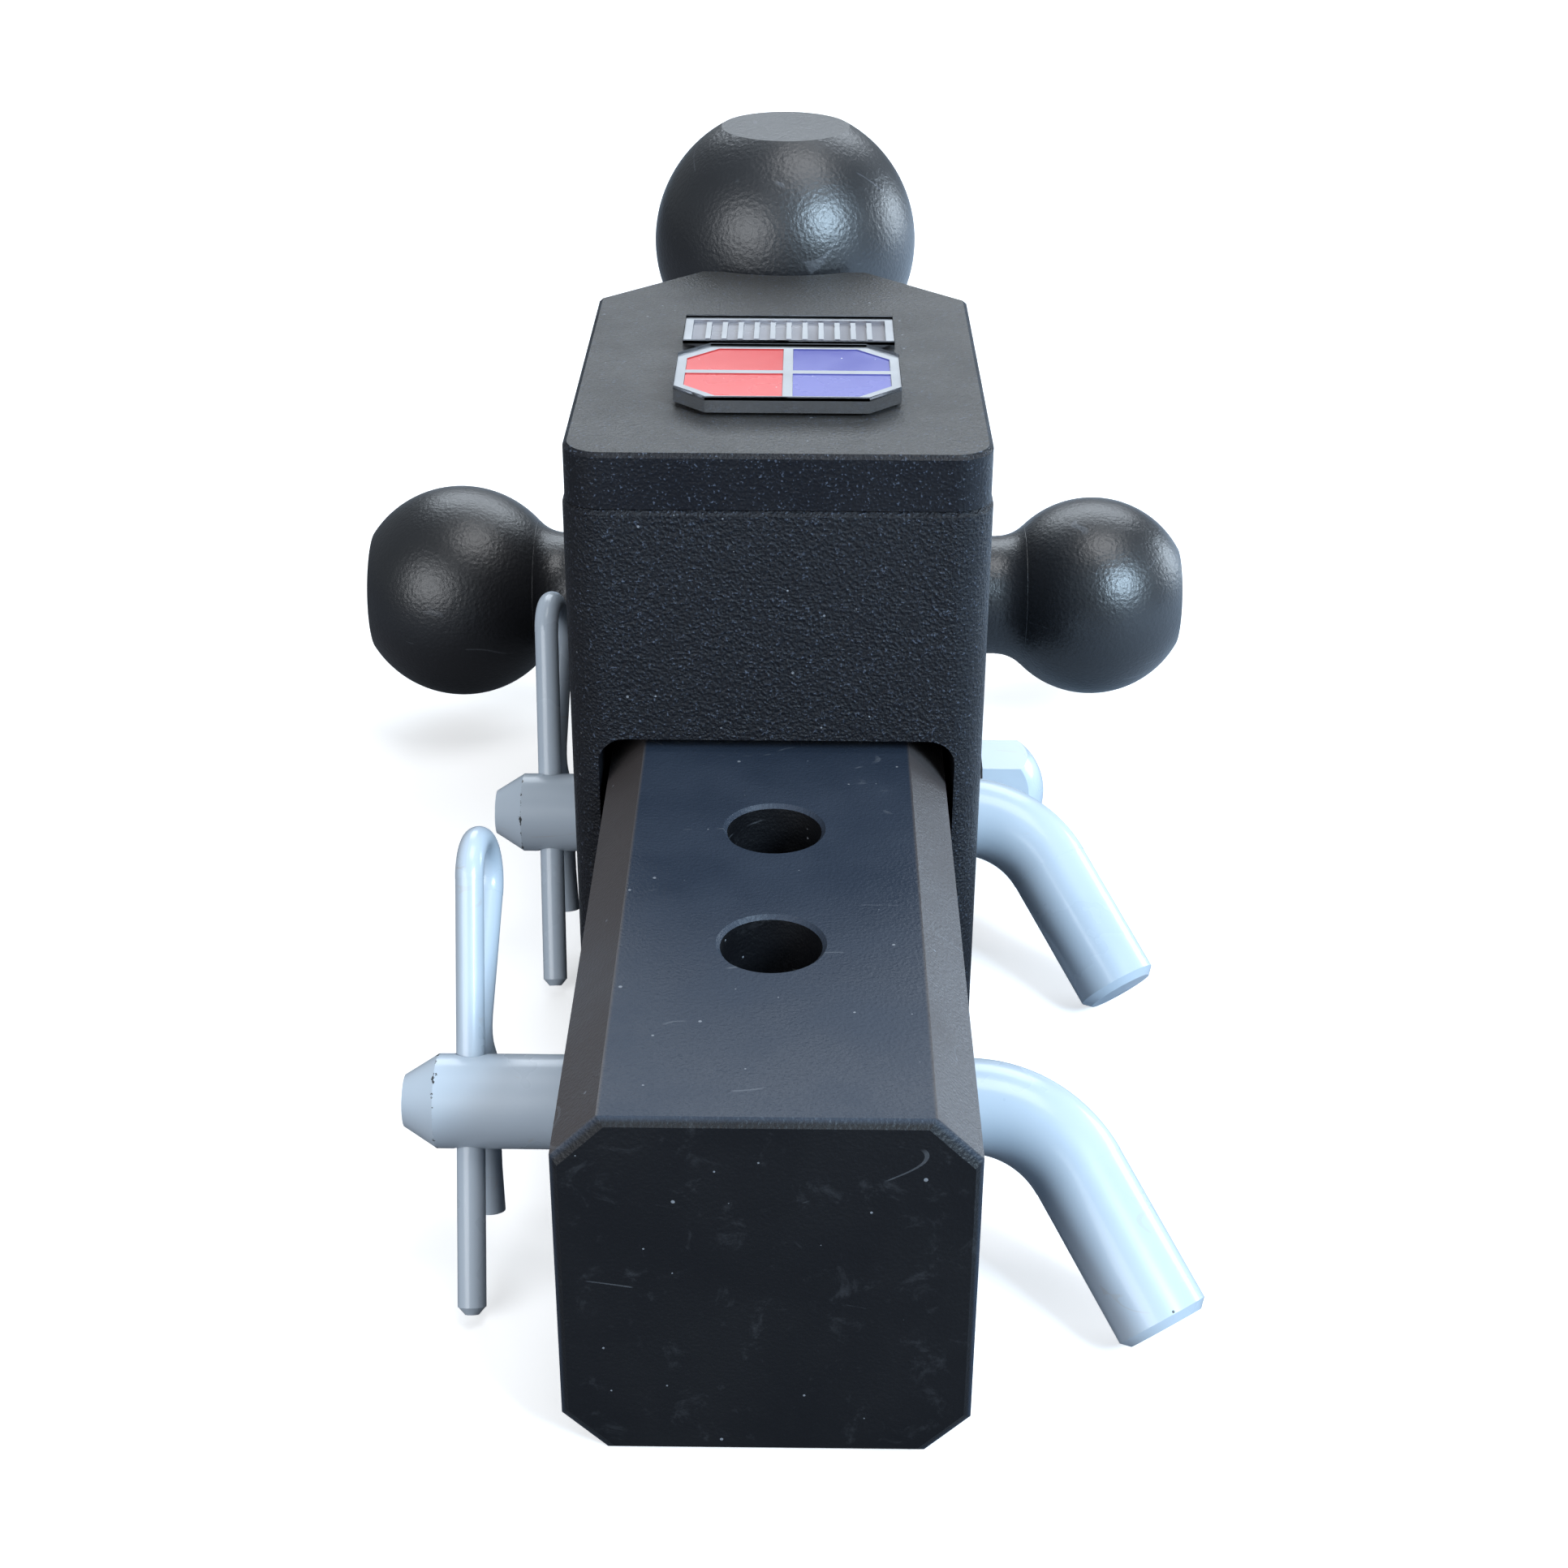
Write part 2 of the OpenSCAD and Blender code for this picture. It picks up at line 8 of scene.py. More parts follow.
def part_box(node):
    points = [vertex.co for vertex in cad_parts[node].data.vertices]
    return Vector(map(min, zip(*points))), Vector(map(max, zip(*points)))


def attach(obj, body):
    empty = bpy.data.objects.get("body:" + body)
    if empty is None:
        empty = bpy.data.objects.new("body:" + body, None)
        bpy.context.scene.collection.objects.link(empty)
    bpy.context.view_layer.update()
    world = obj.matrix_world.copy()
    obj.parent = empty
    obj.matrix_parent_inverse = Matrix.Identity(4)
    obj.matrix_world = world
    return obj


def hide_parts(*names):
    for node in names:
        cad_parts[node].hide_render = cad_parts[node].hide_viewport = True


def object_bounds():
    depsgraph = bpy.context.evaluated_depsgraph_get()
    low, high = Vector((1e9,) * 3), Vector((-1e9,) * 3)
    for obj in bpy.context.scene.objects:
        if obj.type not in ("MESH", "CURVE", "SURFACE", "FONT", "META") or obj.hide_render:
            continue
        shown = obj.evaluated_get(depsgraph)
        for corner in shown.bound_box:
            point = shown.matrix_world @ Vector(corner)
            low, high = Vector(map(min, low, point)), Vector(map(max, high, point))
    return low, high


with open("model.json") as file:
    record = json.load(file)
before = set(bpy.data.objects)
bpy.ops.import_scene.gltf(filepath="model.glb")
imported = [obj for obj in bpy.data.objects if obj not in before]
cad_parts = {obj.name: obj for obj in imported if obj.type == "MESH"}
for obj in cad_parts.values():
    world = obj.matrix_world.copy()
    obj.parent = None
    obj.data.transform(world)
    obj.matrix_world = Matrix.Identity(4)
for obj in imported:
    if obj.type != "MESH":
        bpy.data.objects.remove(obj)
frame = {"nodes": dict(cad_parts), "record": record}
cadBox = [list(corner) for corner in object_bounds()]
nodes = frame["nodes"]
mm = 0.001
print("frame loaded:", len(nodes), "parts")


# Small helpers for shader trees

def addNode(tree, kind, **inputs):
    shaderNode = tree.nodes.new(kind)
    for key, value in inputs.items():
        shaderNode.inputs[key].default_value = value
    return shaderNode


def mathNode(tree, operation, first, second=None):
    step = tree.nodes.new("ShaderNodeMath")
    step.operation = operation
    for index, value in enumerate((first, second)):
        if value is None:
            continue
        if isinstance(value, (int, float)):
            step.inputs[index].default_value = value
        else:
            tree.links.new(value, step.inputs[index])
    return step.outputs["Value"]


def spread(tree, value, low, high, toLow=0.0, toHigh=1.0):
    ramp = addNode(tree, "ShaderNodeMapRange", **{"From Min": low, "From Max": high,
                                                  "To Min": toLow, "To Max": toHigh})
    ramp.interpolation_type = "SMOOTHSTEP"
    tree.links.new(value, ramp.inputs["Value"])
    return ramp.outputs["Result"]


def mixColour(tree, mask, first, second):
    mix = tree.nodes.new("ShaderNodeMix")
    mix.data_type = "RGBA"
    tree.links.new(mask, mix.inputs["Factor"])
    for socket, value in ((mix.inputs[6], first), (mix.inputs[7], second)):
        if isinstance(value, tuple):
            socket.default_value = (*value, 1.0)
        else:
            tree.links.new(value, socket)
    return mix.outputs[2]


def newGroup(name, inputs, outputs):
    group = bpy.data.node_groups.new(name, "ShaderNodeTree")
    for socketName, kind, value in inputs:
        socket = group.interface.new_socket(socketName, in_out="INPUT", socket_type=kind)
        if value is not None:
            socket.default_value = value
    for socketName, kind in outputs:
        group.interface.new_socket(socketName, in_out="OUTPUT", socket_type=kind)
    return group, group.nodes.new("NodeGroupInput"), group.nodes.new("NodeGroupOutput")


# Shared effects: each group puts out masks and heights only

def makeGrain():
    group, given, result = newGroup(
        "coatGrain",
        [("Vector", "NodeSocketVector", None), ("Scale", "NodeSocketFloat", 900.0)],
        [("Height", "NodeSocketFloat"), ("Mask", "NodeSocketFloat"), ("Cloud", "NodeSocketFloat")])
    fine = addNode(group, "ShaderNodeTexNoise", Detail=3.0, Roughness=0.6)
    group.links.new(given.outputs["Vector"], fine.inputs["Vector"])
    group.links.new(given.outputs["Scale"], fine.inputs["Scale"])
    pebble = group.nodes.new("ShaderNodeTexVoronoi")
    group.links.new(given.outputs["Vector"], pebble.inputs["Vector"])
    group.links.new(mathNode(group, "MULTIPLY", given.outputs["Scale"], 0.8), pebble.inputs["Scale"])
    cloud = addNode(group, "ShaderNodeTexNoise", Scale=45.0, Detail=4.0, Roughness=0.55)
    group.links.new(given.outputs["Vector"], cloud.inputs["Vector"])
    noise = fine.outputs["Fac"]
    dimple = mathNode(group, "MULTIPLY", pebble.outputs["Distance"], 0.5)
    group.links.new(mathNode(group, "ADD", noise, dimple), result.inputs["Height"])
    # the Mask output picks the brightest grain, where the powder coat paints its glints
    group.links.new(spread(group, noise, 0.6, 0.7), result.inputs["Mask"])
    group.links.new(cloud.outputs["Fac"], result.inputs["Cloud"])
    return group


def makeDust():
    group, given, result = newGroup(
        "dustSpecks",
        [("Vector", "NodeSocketVector", None), ("Scale", "NodeSocketFloat", 160.0),
         ("Size", "NodeSocketFloat", 0.09)],
        [("Mask", "NodeSocketFloat")])
    speck = addNode(group, "ShaderNodeTexVoronoi", Randomness=1.0)
    group.links.new(given.outputs["Vector"], speck.inputs["Vector"])
    group.links.new(given.outputs["Scale"], speck.inputs["Scale"])
    choose = group.nodes.new("ShaderNodeSeparateColor")
    group.links.new(speck.outputs["Color"], choose.inputs["Color"])
    reach = mathNode(group, "MULTIPLY", given.outputs["Size"], choose.outputs["Red"])
    inside = mathNode(group, "LESS_THAN", speck.outputs["Distance"], reach)
    kept = mathNode(group, "GREATER_THAN", choose.outputs["Green"], 0.45)
    group.links.new(mathNode(group, "MULTIPLY", inside, kept), result.inputs["Mask"])
    return group


def makeScuffs():
    group, given, result = newGroup(
        "scuffMarks",
        [("Vector", "NodeSocketVector", None), ("Scale", "NodeSocketFloat", 60.0),
         ("Width", "NodeSocketFloat", 0.012)],
        [("Mask", "NodeSocketFloat")])
    stretch = group.nodes.new("ShaderNodeMapping")
    stretch.inputs["Scale"].default_value = (0.35, 1.0, 1.4)
    stretch.inputs["Rotation"].default_value = (0.5, 0.3, 0.7)
    group.links.new(given.outputs["Vector"], stretch.inputs["Vector"])
    lines = addNode(group, "ShaderNodeTexNoise", Detail=1.0, Distortion=0.4)
    group.links.new(stretch.outputs["Vector"], lines.inputs["Vector"])
    group.links.new(given.outputs["Scale"], lines.inputs["Scale"])
    offset = mathNode(group, "ABSOLUTE", mathNode(group, "SUBTRACT", lines.outputs["Fac"], 0.5))
    thin = mathNode(group, "LESS_THAN", offset, given.outputs["Width"])
    patch = addNode(group, "ShaderNodeTexNoise", Scale=110.0, Detail=2.0)
    group.links.new(given.outputs["Vector"], patch.inputs["Vector"])
    broken = spread(group, patch.outputs["Fac"], 0.56, 0.62)
    group.links.new(mathNode(group, "MULTIPLY", thin, broken), result.inputs["Mask"])
    return group


grainGroup = makeGrain()
dustGroup = makeDust()
scuffGroup = makeScuffs()
print("shared finishes ready")


def startMaterial(name, metallic=0.0, specular=0.5, coat=0.0, coatRoughness=0.1):
    material = bpy.data.materials.new(name)
    material.use_nodes = True
    tree = material.node_tree
    shader = tree.nodes["Principled BSDF"]
    shader.inputs["Metallic"].default_value = metallic
    shader.inputs["Specular IOR Level"].default_value = specular
    shader.inputs["Coat Weight"].default_value = coat
    shader.inputs["Coat Roughness"].default_value = coatRoughness
    place = tree.nodes.new("ShaderNodeTexCoord").outputs["Object"]
    return material, tree, shader, place


def useGroup(tree, group, place, **inputs):
    effect = tree.nodes.new("ShaderNodeGroup")
    effect.node_tree = group
    tree.links.new(place, effect.inputs["Vector"])
    for key, value in inputs.items():
        effect.inputs[key].default_value = value
    return effect.outputs


def addBump(tree, shader, height, strength, distance):
    bump = addNode(tree, "ShaderNodeBump", Strength=strength, Distance=distance)
    tree.links.new(height, bump.inputs["Height"])
    tree.links.new(bump.outputs["Normal"], shader.inputs["Normal"])


def setRoughness(tree, shader, cloud, span, low=0.3, high=0.7):
    tree.links.new(spread(tree, cloud, low, high, *span), shader.inputs["Roughness"])


def axisValues(tree, place):
    split = tree.nodes.new("ShaderNodeSeparateXYZ")
    tree.links.new(place, split.inputs["Vector"])
    return split.outputs["X"], split.outputs["Y"], split.outputs["Z"]


def upwardNormal(tree):
    geometry = tree.nodes.new("ShaderNodeNewGeometry")
    return axisValues(tree, geometry.outputs["Normal"])[2]


# Black powder coat on the box, cap, hub and welds, with painted glints on its grain

# the light colour is painted glints, laid on the brightest grain
powderFinish = {"dark": (0.006, 0.0065, 0.0095), "light": (0.075, 0.09, 0.125), "dust": (0.2, 0.21, 0.23),
                "paintedTopSheen": (0.036, 0.034, 0.032), "topSheenFacing": (0.7, 0.95),
                "dustMarks": {"Scale": 330.0, "Size": 0.09}, "specular": 0.34, "roughness": (0.36, 0.48)}
powderGrains = {"coarse": {"grain": 1900.0, "bump": 0.9, "depth": 0.00045},
                "sheenedTop": {"grain": 1900.0, "bump": 0.6, "depth": 0.0003, "paintedSheen": True},
                "weld": {"grain": 900.0, "bump": 0.6, "depth": 0.0005}}


def makePowderCoat(name, grain, bump, depth, paintedSheen=False):
    finish = powderFinish
    material, tree, shader, place = startMaterial(name, specular=finish["specular"])
    coat = useGroup(tree, grainGroup, place, Scale=grain)
    dust = useGroup(tree, dustGroup, place, **finish["dustMarks"])
    body = finish["dark"]
    if paintedSheen:  # painted sheen: faces that point up are painted lighter
        facingUp = spread(tree, upwardNormal(tree), *finish["topSheenFacing"])
        body = mixColour(tree, facingUp, body, finish["paintedTopSheen"])
    # painted glints: the brightest grain takes the light colour
    body = mixColour(tree, coat["Mask"], body, finish["light"])
    tree.links.new(mixColour(tree, dust["Mask"], body, finish["dust"]), shader.inputs["Base Color"])
    setRoughness(tree, shader, coat["Cloud"], finish["roughness"], 0.35, 0.65)
    addBump(tree, shader, coat["Height"], bump, depth)
    return material


# Satin black paint on the drawbar, browner and rubbed on its long chamfers, with painted shade on its end
# face and in its holes

barFinish = {"dark": (0.015, 0.022, 0.036), "light": (0.028, 0.039, 0.06), "rubbed": (0.072, 0.062, 0.06),
             "paintedEndShade": (0.003, 0.0033, 0.0048), "smudge": (0.02, 0.021, 0.024), "dust": (0.2, 0.21, 0.23),
             "chamfer": (7.6 * mm, 6.9 * mm), "chamferStart": (0.6 * mm, 1.6 * mm),
             "endShadeSpan": (1.1 * mm, 0.4 * mm), "holeReach": 10 * mm, "holeWall": (0.6, 0.3),
             "dustMarks": {"Scale": 300.0, "Size": 0.1}, "scuffs": {"Scale": 48.0, "Width": 0.003},
             "smudges": {"Scale": 140.0, "Detail": 6.0, "Roughness": 0.75, "Distortion": 0.6},
             "smudgeCover": (0.55, 0.72), "scuffStrength": 0.25,
             "specular": 0.42, "grain": 1900.0, "roughness": (0.4, 0.56), "bump": 0.45, "depth": 0.00025}


def barChamferMask(tree, x, y, z):
    corner = 2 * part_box("drawbar")[1].x
    reach = mathNode(tree, "ADD", mathNode(tree, "ABSOLUTE", x), mathNode(tree, "ABSOLUTE", z))
    inside, outside = (corner - edge for edge in barFinish["chamfer"])
    behindEnd = spread(tree, y, *barFinish["chamferStart"])
    return mathNode(tree, "MULTIPLY", spread(tree, reach, inside, outside), behindEnd)


# marks the walls of the upright holes, where shade is painted
def barHoleShadeMask(tree, x):
    facing = mathNode(tree, "ABSOLUTE", upwardNormal(tree))
    middle = mathNode(tree, "LESS_THAN", mathNode(tree, "ABSOLUTE", x), barFinish["holeReach"])
    return mathNode(tree, "MULTIPLY", spread(tree, facing, *barFinish["holeWall"]), middle)


def makeBarPaint():
    finish = barFinish
    material, tree, shader, place = startMaterial("satinBarPaint", specular=finish["specular"])
    coat = useGroup(tree, grainGroup, place, Scale=finish["grain"])
    dust = useGroup(tree, dustGroup, place, **finish["dustMarks"])
    scuff = useGroup(tree, scuffGroup, place, **finish["scuffs"])
    x, y, z = axisValues(tree, place)
    body = mixColour(tree, coat["Cloud"], finish["dark"], finish["light"])
    body = mixColour(tree, barChamferMask(tree, x, y, z), body, finish["rubbed"])
    smudge = addNode(tree, "ShaderNodeTexNoise", **finish["smudges"])
    tree.links.new(place, smudge.inputs["Vector"])
    smudged = spread(tree, smudge.outputs["Fac"], *finish["smudgeCover"])
    shadeWithSmudges = mixColour(tree, smudged, finish["paintedEndShade"], finish["smudge"])
    # painted shade: the end face, turned from the lamps, is painted near black, with real smudges in it
    body = mixColour(tree, spread(tree, y, *finish["endShadeSpan"]), body, shadeWithSmudges)
    body = mixColour(tree, barHoleShadeMask(tree, x), body, shadeWithSmudges)  # painted shade: the holes' walls are painted as dark as the end face
    scratch = mathNode(tree, "MULTIPLY", scuff["Mask"], finish["scuffStrength"])
    worn = mathNode(tree, "MAXIMUM", dust["Mask"], scratch)
    tree.links.new(mixColour(tree, worn, body, finish["dust"]), shader.inputs["Base Color"])
    setRoughness(tree, shader, coat["Cloud"], finish["roughness"])
    addBump(tree, shader, coat["Height"], finish["bump"], finish["depth"])
    return material


# Fine matte black on the three balls

ballFinish = {"dark": (0.007, 0.0072, 0.0085), "light": (0.014, 0.015, 0.018), "mark": (0.05, 0.053, 0.06),
              "scuffs": {"Scale": 30.0, "Width": 0.0025}, "specular": 0.9, "grain": 1300.0,
              "roughness": (0.34, 0.4), "bump": 0.4, "depth": 0.00025}


def makeBallCoat():
    finish = ballFinish
    material, tree, shader, place = startMaterial("matteBallCoat", specular=finish["specular"])
    coat = useGroup(tree, grainGroup, place, Scale=finish["grain"])
    scuff = useGroup(tree, scuffGroup, place, **finish["scuffs"])
    body = mixColour(tree, coat["Cloud"], finish["dark"], finish["light"])
    tree.links.new(mixColour(tree, scuff["Mask"], body, finish["mark"]), shader.inputs["Base Color"])
    setRoughness(tree, shader, coat["Cloud"], finish["roughness"])
    addBump(tree, shader, coat["Height"], finish["bump"], finish["depth"])
    return material


# Pale gloss coat on the pins, clips and bolt, chipped round the pins' noses

paleFinish = {"light": (0.53, 0.6, 0.67), "dull": (0.47, 0.54, 0.62), "chip": (0.035, 0.034, 0.035),
              "scuff": (0.48, 0.5, 0.52), "scuffs": {"Scale": 70.0, "Width": 0.006}, "scuffStrength": 0.6,
              "flecks": {"Scale": 150.0, "Size": 0.05}, "noseLength": 5.6 * mm, "chipWidth": 0.75 * mm,
              "chipEdge": {"Scale": 520.0, "Detail": 5.0, "Roughness": 0.7}, "chipCover": (0.5, 0.75),
              "coat": 0.35, "coatRoughness": 0.12, "grain": 700.0, "roughness": (0.24, 0.38),
              "bump": 0.25, "depth": 0.0004}


def makePaleCoat(name, noseNode=None):
    finish = paleFinish
    material, tree, shader, place = startMaterial(name, coat=finish["coat"],
                                                  coatRoughness=finish["coatRoughness"])
    coat = useGroup(tree, grainGroup, place, Scale=finish["grain"])
    scuff = useGroup(tree, scuffGroup, place, **finish["scuffs"])
    fleck = useGroup(tree, dustGroup, place, **finish["flecks"])
    body = mixColour(tree, coat["Cloud"], finish["dull"], finish["light"])
    scratch = mathNode(tree, "MULTIPLY", scuff["Mask"], finish["scuffStrength"])
    body = mixColour(tree, scratch, body, finish["scuff"])
    chips = fleck["Mask"]
    if noseNode:
        x = axisValues(tree, place)[0]
        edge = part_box(noseNode)[0].x + finish["noseLength"]
        near = mathNode(tree, "ABSOLUTE", mathNode(tree, "SUBTRACT", x, edge))
        ragged = addNode(tree, "ShaderNodeTexNoise", **finish["chipEdge"])
        tree.links.new(place, ragged.inputs["Vector"])
        limit = spread(tree, ragged.outputs["Fac"], *finish["chipCover"], 0.0, finish["chipWidth"])
        chips = mathNode(tree, "MAXIMUM", chips, mathNode(tree, "LESS_THAN", near, limit))
    tree.links.new(mixColour(tree, chips, body, finish["chip"]), shader.inputs["Base Color"])
    setRoughness(tree, shader, coat["Cloud"], finish["roughness"])
    addBump(tree, shader, coat["Cloud"], finish["bump"], finish["depth"])
    return material


# Chrome, mirror bright on its sides and brushed grey on top

chromeFinish = {"side": (0.86, 0.88, 0.92), "top": (0.33, 0.34, 0.355), "topFacing": (0.86, 0.98),
                "topRoughness": 0.34, "sideRoughness": (0.04, 0.14), "grain": 900.0, "bump": 0.35,
                "depth": 0.0012}


def makeChrome():
    finish = chromeFinish
    material, tree, shader, place = startMaterial("badgeChrome", metallic=1.0)
    top = spread(tree, upwardNormal(tree), *finish["topFacing"])
    coat = useGroup(tree, grainGroup, place, Scale=finish["grain"])
    tree.links.new(mixColour(tree, top, finish["side"], finish["top"]), shader.inputs["Base Color"])
    smooth = spread(tree, coat["Cloud"], 0.3, 0.7, *finish["sideRoughness"])
    rough = mathNode(tree, "ADD", smooth, mathNode(tree, "MULTIPLY", top, finish["topRoughness"]))
    tree.links.new(rough, shader.inputs["Roughness"])
    addBump(tree, shader, coat["Cloud"], finish["bump"], finish["depth"])
    return material


# Glossy enamel in the badge

enamelFinish = {"speck": (0.8, 0.8, 0.8), "specks": {"Scale": 420.0, "Size": 0.07}, "grain": 300.0,
                "coat": 0.5, "coatRoughness": 0.08, "roughness": (0.16, 0.3), "bump": 0.2, "depth": 0.0003}


def makeEnamel(name, deep, washed):
    finish = enamelFinish
    material, tree, shader, place = startMaterial(name, coat=finish["coat"],
                                                  coatRoughness=finish["coatRoughness"])
    coat = useGroup(tree, grainGroup, place, Scale=finish["grain"])
    dust = useGroup(tree, dustGroup, place, **finish["specks"])
    body = mixColour(tree, coat["Cloud"], deep, washed)
    tree.links.new(mixColour(tree, dust["Mask"], body, finish["speck"]), shader.inputs["Base Color"])
    setRoughness(tree, shader, coat["Cloud"], finish["roughness"])
    addBump(tree, shader, coat["Cloud"], finish["bump"], finish["depth"])
    return material


# One grained finish for the small parts inside and under the head

plainDepth = 0.0003
plainFinishes = {
    "oiledSteel": {"dark": (0.05, 0.05, 0.055), "light": (0.16, 0.16, 0.17), "grain": 600.0,
                   "roughness": (0.28, 0.42), "bump": 0.25, "metallic": 1.0},
    "turnedBronze": {"dark": (0.35, 0.2, 0.07), "light": (0.62, 0.42, 0.2), "grain": 500.0,
                     "roughness": (0.25, 0.4), "bump": 0.2, "metallic": 1.0},
    "wearNylon": {"dark": (0.5, 0.46, 0.36), "light": (0.7, 0.67, 0.56), "grain": 350.0,
                  "roughness": (0.5, 0.62), "bump": 0.2},
    "foamTape": {"dark": (0.012, 0.012, 0.012), "light": (0.04, 0.04, 0.04), "grain": 1400.0,
                 "roughness": (0.8, 0.95), "bump": 0.7},
}


def makePlain(name, dark, light, grain, roughness, bump, metallic=0.0):
    material, tree, shader, place = startMaterial(name, metallic=metallic)
    coat = useGroup(tree, grainGroup, place, Scale=grain)
    tree.links.new(mixColour(tree, coat["Height"], dark, light), shader.inputs["Base Color"])
    setRoughness(tree, shader, coat["Cloud"], roughness)
    addBump(tree, shader, coat["Height"], bump, plainDepth)
    return material


sheenedTopPowder = makePowderCoat("sheenedTopPowderCoat", **powderGrains["sheenedTop"])
weldCoat = makePowderCoat("coatedWeld", **powderGrains["weld"])
finishes = {
    "powder_black": makePowderCoat("coarsePowderCoat", **powderGrains["coarse"]),
    "bar_black": makeBarPaint(),
    "ball_black": makeBallCoat(),
    "weld_black": weldCoat,
    "pale_coat": makePaleCoat("paleCoat"),
    "dark_steel": makePlain("oiledSteel", **plainFinishes["oiledSteel"]),
    "bronze": makePlain("turnedBronze", **plainFinishes["turnedBronze"]),
    "nylon": makePlain("wearNylon", **plainFinishes["wearNylon"]),
    "chrome": makeChrome(),
    "red_enamel": makeEnamel("redEnamel", (0.6, 0.012, 0.012), (0.78, 0.045, 0.04)),
    "blue_enamel": makeEnamel("blueEnamel", (0.045, 0.045, 0.3), (0.13, 0.13, 0.48)),
    "grey_enamel": makeEnamel("greyEnamel", (0.16, 0.15, 0.17), (0.3, 0.29, 0.31)),
    "tape": makePlain("foamTape", **plainFinishes["foamTape"]),
}
slotOf = {part["node"]: part["material_slot"] for part in frame["record"]["subparts"]}
for name, part in nodes.items():
    finish = finishes[slotOf[name]]
    # the cap plate takes the powder coat with the painted sheen on faces that point up
    if name == "cap_plate":
        finish = sheenedTopPowder
    if name in ("receiver_pin", "head_pin"):  # each pin has chips round its own nose
        finish = makePaleCoat("paleCoat" + name.split("_")[0].title(), name)
    part.material_slots[0].material = finish
print("materials on", len(nodes), "parts")


# Pieces made here

def addObject(name, mesh, material):
    data = bpy.data.meshes.new(name)
    mesh.to_mesh(data)
    mesh.free()
    data.materials.append(material)
    made = bpy.data.objects.new(name, data)
    bpy.context.scene.collection.objects.link(made)
    return made


def finishPiece(name, mesh, material, body, smooth=True):
    bmesh.ops.recalc_face_normals(mesh, faces=mesh.faces)
    piece = addObject(name, mesh, material)
    for face in piece.data.polygons:
        face.use_smooth = smooth
    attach(piece, body)
    return piece


# Welds round the necks: a rippled ring laid against the neck and the hub's face

neckBead = {"neckRadius": 14.3 * mm, "bead": 3.1 * mm, "lift": 0.9 * mm, "ripples": 46, "ripple": 0.09,
            "shift": 0.05, "middle": 0.6, "steps": 276, "around": 14}


def rippledRing(mesh, settings, placement):
    core = settings["neckRadius"] + settings["lift"]
    profile = bmesh.ops.create_circle(mesh, segments=settings["around"], radius=settings["bead"])["verts"]
    upright = Matrix.Translation((core, 0, settings["lift"])) @ Matrix.Rotation(math.pi / 2, 4, "X")
    bmesh.ops.transform(mesh, matrix=upright, verts=profile)
    edges = list({edge for vert in profile for edge in vert.link_edges})
    bmesh.ops.spin(mesh, geom=profile + edges, cent=(0, 0, 0), axis=(0, 0, 1), angle=2 * math.pi,
                   steps=settings["steps"], use_merge=True)
    # finished rings are tagged
    ring = list({vert for face in mesh.faces for vert in face.verts if not vert.tag})
    for vert in ring:
        angle = math.atan2(vert.co.y, vert.co.x)
        centre = Vector((core * math.cos(angle), core * math.sin(angle), settings["lift"]))
        lean = angle + settings["shift"] * (vert.co - centre).normalized().z
        wave = abs(math.sin(lean * settings["ripples"] / 2)) - settings["middle"]
        swell = 1 + settings["ripple"] * wave
        vert.co = centre + (vert.co - centre) * swell
    bmesh.ops.transform(mesh, matrix=placement, verts=ring)
    for vert in ring:
        vert.tag = True


def makeNeckWelds():
    hubLow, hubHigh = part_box("ball_hub")
    middleY = (hubLow.y + hubHigh.y) / 2
    sideLow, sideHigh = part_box("small_ball")
    sideZ = (sideLow.z + sideHigh.z) / 2
    mesh = bmesh.new()
    rippledRing(mesh, neckBead, Matrix.Translation((0, middleY, hubHigh.z)))
    for faceX, turn in ((hubHigh.x, math.pi / 2), (hubLow.x, -math.pi / 2)):
        placement = Matrix.Translation((faceX, middleY, sideZ)) @ Matrix.Rotation(turn, 4, "Y")
        rippledRing(mesh, neckBead, placement)
    bmesh.ops.remove_doubles(mesh, verts=mesh.verts, dist=1e-6)
    piece = finishPiece("neckWeldBeads", mesh, weldCoat, "hitch")
    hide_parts("neck_welds")


# Upright welds in the grooves between the box's cut corners and the hub

hubBead = {"radius": 3.9 * mm, "grooveWidth": 10 * mm, "out": 6.6 * mm, "in": 3.0 * mm, "ripples": 26,
           "ripple": 0.07, "middle": 0.6, "steps": 156, "around": 16}


def makeHubWelds():
    settings = hubBead
    low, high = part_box("hub_welds")
    cornerX = high.x - settings["grooveWidth"]
    mesh = bmesh.new()
    for side in (-1, 1):
        centre = Vector((side * (cornerX + settings["out"]), high.y - settings["in"], low.z))
        ring = bmesh.ops.create_circle(mesh, cap_ends=True, segments=settings["around"],
                                       radius=settings["radius"])["verts"]
        bmesh.ops.translate(mesh, vec=centre, verts=ring)
        face = next(face for face in mesh.faces if set(face.verts) == set(ring))
        rise = (high.z - low.z) / settings["steps"]
        middle = Vector((centre.x, centre.y, 0))
        for step in range(1, settings["steps"] + 1):
            grown = bmesh.ops.extrude_face_region(mesh, geom=[face])["geom"]
            face = next(item for item in grown if isinstance(item, bmesh.types.BMFace))
            turn = math.pi * step * settings["ripples"] / settings["steps"]
            wave = abs(math.sin(turn)) - settings["middle"]
            size = settings["radius"] * (1 + settings["ripple"] * wave)
            for vert in face.verts:
                flat = Vector((vert.co.x - middle.x, vert.co.y - middle.y, 0)).normalized() * size
                vert.co = Vector((middle.x + flat.x, middle.y + flat.y, low.z + rise * step))
    piece = finishPiece("hubWeldBeads", mesh, weldCoat, "hitch")
    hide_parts("hub_welds")


# Raised and rounded frames round the badge plate and the badge bar

badgeFrame = {"corner": 6 * mm, "width": 1.7 * mm, "height": 0.55 * mm, "sunk": 0.3 * mm,
              "bevel": 0.22 * mm, "sharp": 0.5}
barFrame = {**badgeFrame, "width": 1.5 * mm}


